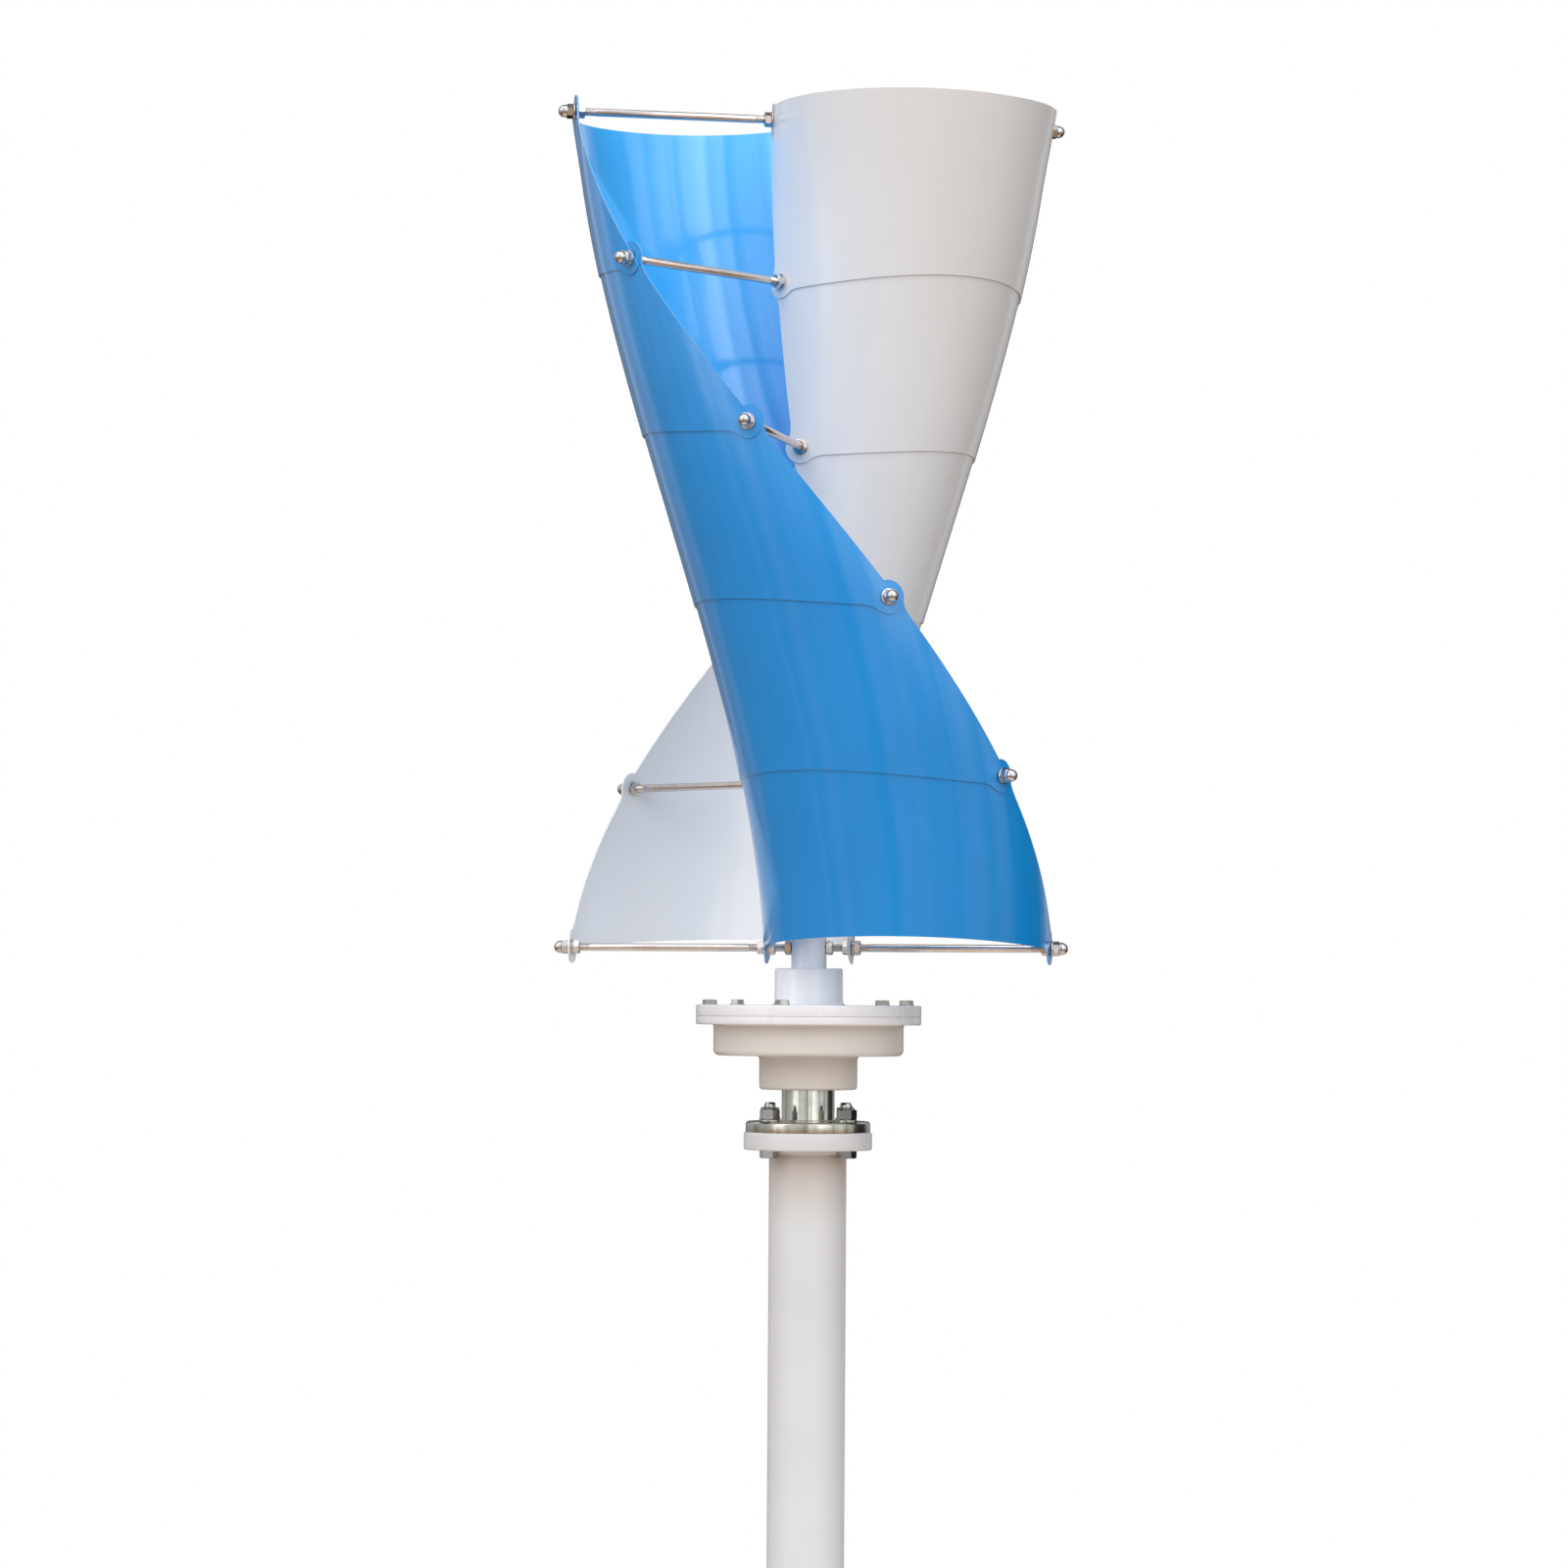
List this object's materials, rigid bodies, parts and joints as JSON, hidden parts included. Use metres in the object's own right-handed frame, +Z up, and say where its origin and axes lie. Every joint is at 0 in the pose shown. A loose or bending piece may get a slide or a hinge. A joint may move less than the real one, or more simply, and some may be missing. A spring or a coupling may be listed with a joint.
{
  "type": "small wind turbine",
  "caption": "Helical Savonius wind turbine: two twisted half-round sheet blades on tie rods, turning with a disc generator on a flanged mast.",
  "frame": {"origin": "centre of the base plate's underside, on the rotor's axis", "axes": "+Z up along the mast and the rotor's axis; -Y is the side seen when the blue blade's upper end is at the left"},
  "size_m": [0.524, 0.5116, 1.6875],
  "materials": {
    "blue_coat": "glossy sky-blue powder coat on thin sheet",
    "white_coat": "glossy white powder coat",
    "casing_coat": "semi-gloss white powder coat on a turned casting",
    "mast_coat": "semi-gloss white powder coat",
    "stainless": "bright stainless, lightly drawn",
    "dome_chrome": "polished",
    "fastener_steel": "bright zinc plate",
    "spindle_steel": "turned, fine rings",
    "machined_aluminium": "turned",
    "plated_steel": "zinc plate",
    "nickel": "bright nickel plate",
    "bearing_steel": "ground and polished",
    "copper": "enamelled copper wire",
    "resin": "dark cast resin",
    "white_plastic": "moulded",
    "cage_plastic": "glass-filled polyamide",
    "black_screw": "black oxide",
    "rubber": "moulded"
  },
  "bodies": {
    "mast": {"base_gussets": "mast_coat", "base_plate": "mast_coat", "cable_grommet": "rubber", "flange_bolts": "fastener_steel", "flange_nuts": "fastener_steel", "flange_washers": "fastener_steel", "lower_bearing_inner_ring": "bearing_steel", "mast_top_flange": "mast_coat", "mast_tube": "mast_coat", "spindle": "spindle_steel", "spindle_circlips": "black_screw", "stator_coils": "copper", "stator_disc": "resin", "stator_hub": "machined_aluminium", "stator_nut": "plated_steel", "stator_screws": "fastener_steel", "upper_bearing_inner_ring": "bearing_steel"},
    "rotor": {"blue_panel_1": "blue_coat", "blue_panel_2": "blue_coat", "blue_panel_3": "blue_coat", "blue_panel_4": "blue_coat", "blue_panel_5": "blue_coat", "cover_bolts": "fastener_steel", "cover_seal_ring": "rubber", "dome_nuts": "dome_chrome", "generator_cover": "casing_coat", "generator_shell": "casing_coat", "hub_set_screws": "black_screw", "lower_bearing_outer_ring": "bearing_steel", "lower_magnet_plate": "plated_steel", "lower_magnets": "nickel", "lug_nuts": "stainless", "lug_washers": "stainless", "magnet_plate_screws": "fastener_steel", "rotor_shaft": "white_coat", "shaft_cap": "white_plastic", "shaft_nuts": "stainless", "shaft_seal": "rubber", "tie_rod_1": "stainless", "tie_rod_2": "stainless", "tie_rod_3": "stainless", "tie_rod_4": "stainless", "tie_rod_5": "stainless", "tie_rod_6": "stainless", "upper_bearing_outer_ring": "bearing_steel", "upper_magnet_plate": "plated_steel", "upper_magnets": "nickel", "white_panel_1": "white_coat", "white_panel_2": "white_coat", "white_panel_3": "white_coat", "white_panel_4": "white_coat", "white_panel_5": "white_coat"},
    "lower_ball_set": {"lower_bearing_balls": "bearing_steel", "lower_bearing_cage": "cage_plastic"},
    "upper_ball_set": {"upper_bearing_balls": "bearing_steel", "upper_bearing_cage": "cage_plastic"}
  },
  "joints": [
    {"name": "rotor_spin", "type": "hinge", "parent": "mast", "child": "rotor", "pos_m": [0, 0, 0.77], "axis": [0, 0, 1], "continuous": true},
    {"name": "lower_ball_set_spin", "type": "hinge", "parent": "mast", "child": "lower_ball_set", "pos_m": [0, 0, 0.7045], "axis": [0, 0, 1], "continuous": true},
    {"name": "upper_ball_set_spin", "type": "hinge", "parent": "mast", "child": "upper_ball_set", "pos_m": [0, 0, 0.7655], "axis": [0, 0, 1], "continuous": true}
  ],
  "couplings": [
    {"joint": "lower_ball_set_spin", "follows": "rotor_spin", "ratio": 0.5977},
    {"joint": "upper_ball_set_spin", "follows": "rotor_spin", "ratio": 0.6031}
  ]
}
